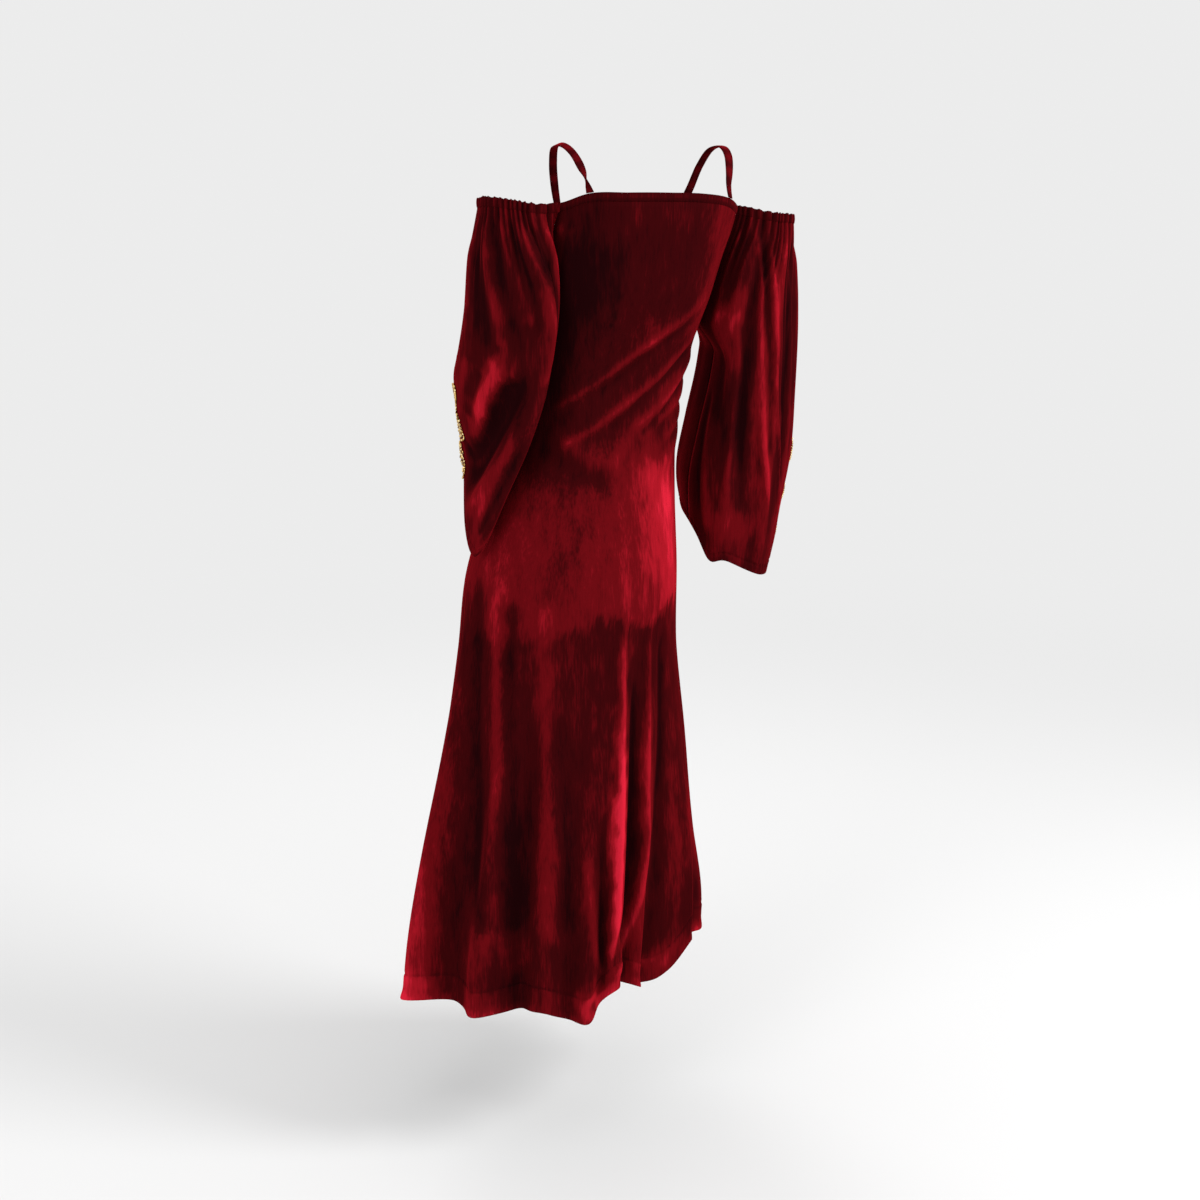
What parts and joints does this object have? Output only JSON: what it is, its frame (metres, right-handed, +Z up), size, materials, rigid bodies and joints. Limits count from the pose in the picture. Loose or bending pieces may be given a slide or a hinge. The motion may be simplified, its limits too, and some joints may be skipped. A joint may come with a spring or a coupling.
{
  "type": "cold-shoulder gown",
  "caption": "Full-length velvet gown with bare shoulders, thin straps, gathered bell sleeves with beaded motifs and a side slit, filled out as worn.",
  "frame": {"origin": "midway between the undersides of the two shoulder straps where they cross the shoulders", "axes": "+Z up, -Y towards the wearer's front, +X towards the wearer's left"},
  "size_m": [0.6097, 0.3486, 1.233],
  "materials": {
    "velvet": "silky cut-pile velvet with a bright nap",
    "binding": "the same velvet, folded double and stitched",
    "beads": "gold-coloured beads and sequins"
  },
  "bodies": {
    "root": {"back_panel": "velvet", "front_panel": "velvet", "left_sleeve": "velvet", "right_sleeve": "velvet", "back_neck_band": "binding", "front_neck_band": "binding", "left_sleeve_casing": "binding", "right_sleeve_casing": "binding", "left_strap": "binding", "right_strap": "binding", "left_bead_motif_1": "beads", "left_bead_motif_2": "beads", "left_bead_motif_3": "beads", "right_bead_motif_1": "beads", "right_bead_motif_2": "beads", "right_bead_motif_3": "beads"}
  },
  "joints": []
}
